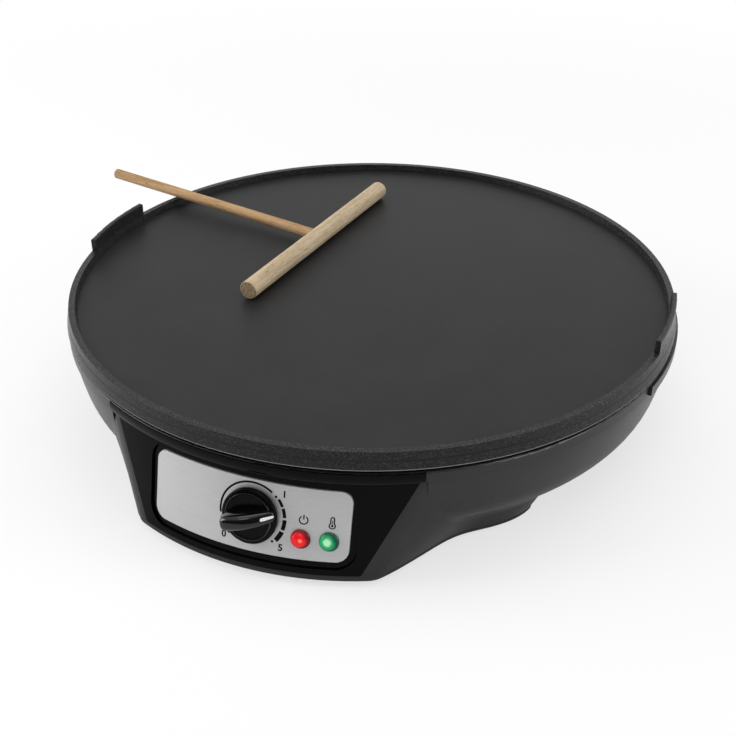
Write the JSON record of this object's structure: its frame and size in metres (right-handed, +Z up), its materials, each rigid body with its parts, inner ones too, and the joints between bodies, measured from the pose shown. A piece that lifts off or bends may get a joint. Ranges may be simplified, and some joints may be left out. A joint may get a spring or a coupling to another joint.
{
  "type": "electric crepe maker",
  "caption": "Free-standing electric crepe maker: round non-stick griddle plate on a black base with a sloping control front, and a wooden spreader.",
  "frame": {"origin": "on the ground, under the centre of the griddle plate", "axes": "+Z up, the control front faces -Y, +X to its right"},
  "size_m": [0.358, 0.3352, 0.0766],
  "materials": {
    "plate_coating": "satin",
    "base_plastic": "matte",
    "fascia_plastic": "gloss",
    "panel_steel": "brushed",
    "knob_plastic": "gloss",
    "pointer_white": "matte",
    "red_lens": "gloss",
    "green_lens": "gloss",
    "lamp_glass": "clear",
    "sheet_steel": "satin",
    "element_steel": "dull",
    "ceramic": "matte",
    "phenolic": "matte",
    "copper": "dull",
    "brown_insulation": "matte",
    "blue_insulation": "matte",
    "earth_insulation": "matte",
    "rubber": "matte",
    "head_wood": "bare",
    "handle_wood": "bare"
  },
  "bodies": {
    "base": {"griddle_plate": "plate_coating", "base_shell": "base_plastic", "bottom_cover": "base_plastic", "control_fascia": "fascia_plastic", "control_panel": "panel_steel", "thermostat_body": "phenolic", "thermostat_bracket": "sheet_steel", "red_lens": "red_lens", "green_lens": "green_lens", "red_lamp": "lamp_glass", "green_lamp": "lamp_glass", "lamp_holder": "phenolic", "heating_element": "element_steel", "element_saddle_1": "sheet_steel", "element_saddle_2": "sheet_steel", "element_saddle_3": "sheet_steel", "heat_shield": "sheet_steel", "plate_spacer_1": "ceramic", "plate_spacer_2": "ceramic", "plate_spacer_3": "ceramic", "plate_screw_1": "sheet_steel", "plate_screw_2": "sheet_steel", "plate_screw_3": "sheet_steel", "capillary_bulb": "copper", "capillary_tube": "copper", "bulb_strap": "sheet_steel", "thermal_fuse": "ceramic", "fuse_strap": "sheet_steel", "terminal_block": "phenolic", "live_lead": "brown_insulation", "switched_lead": "brown_insulation", "neutral_lead": "blue_insulation", "earth_lead": "earth_insulation", "cord_bushing": "rubber", "cord_clamp": "phenolic", "clamp_screw_1": "sheet_steel", "clamp_screw_2": "sheet_steel", "cover_screw_1": "sheet_steel", "cover_screw_2": "sheet_steel", "cover_screw_3": "sheet_steel", "cover_screw_4": "sheet_steel", "front_foot_left": "rubber", "front_foot_right": "rubber", "rear_foot_left": "rubber", "rear_foot_right": "rubber"},
    "knob": {"control_knob": "knob_plastic", "knob_pointer": "pointer_white", "thermostat_shaft": "sheet_steel"},
    "spreader": {"spreader_head": "head_wood", "spreader_handle": "handle_wood"}
  },
  "joints": [
    {"name": "knob_turn", "type": "hinge", "parent": "base", "child": "knob", "pos_m": [0.00315, -0.16053, 0.0295], "axis": [0.0182, -0.9588, 0.2836], "range_deg": [-60, 210]},
    {"name": "spreader_lift", "type": "slide", "parent": "base", "child": "spreader", "axis": [0, 0, 1], "range_m": [0, 0.15]}
  ]
}
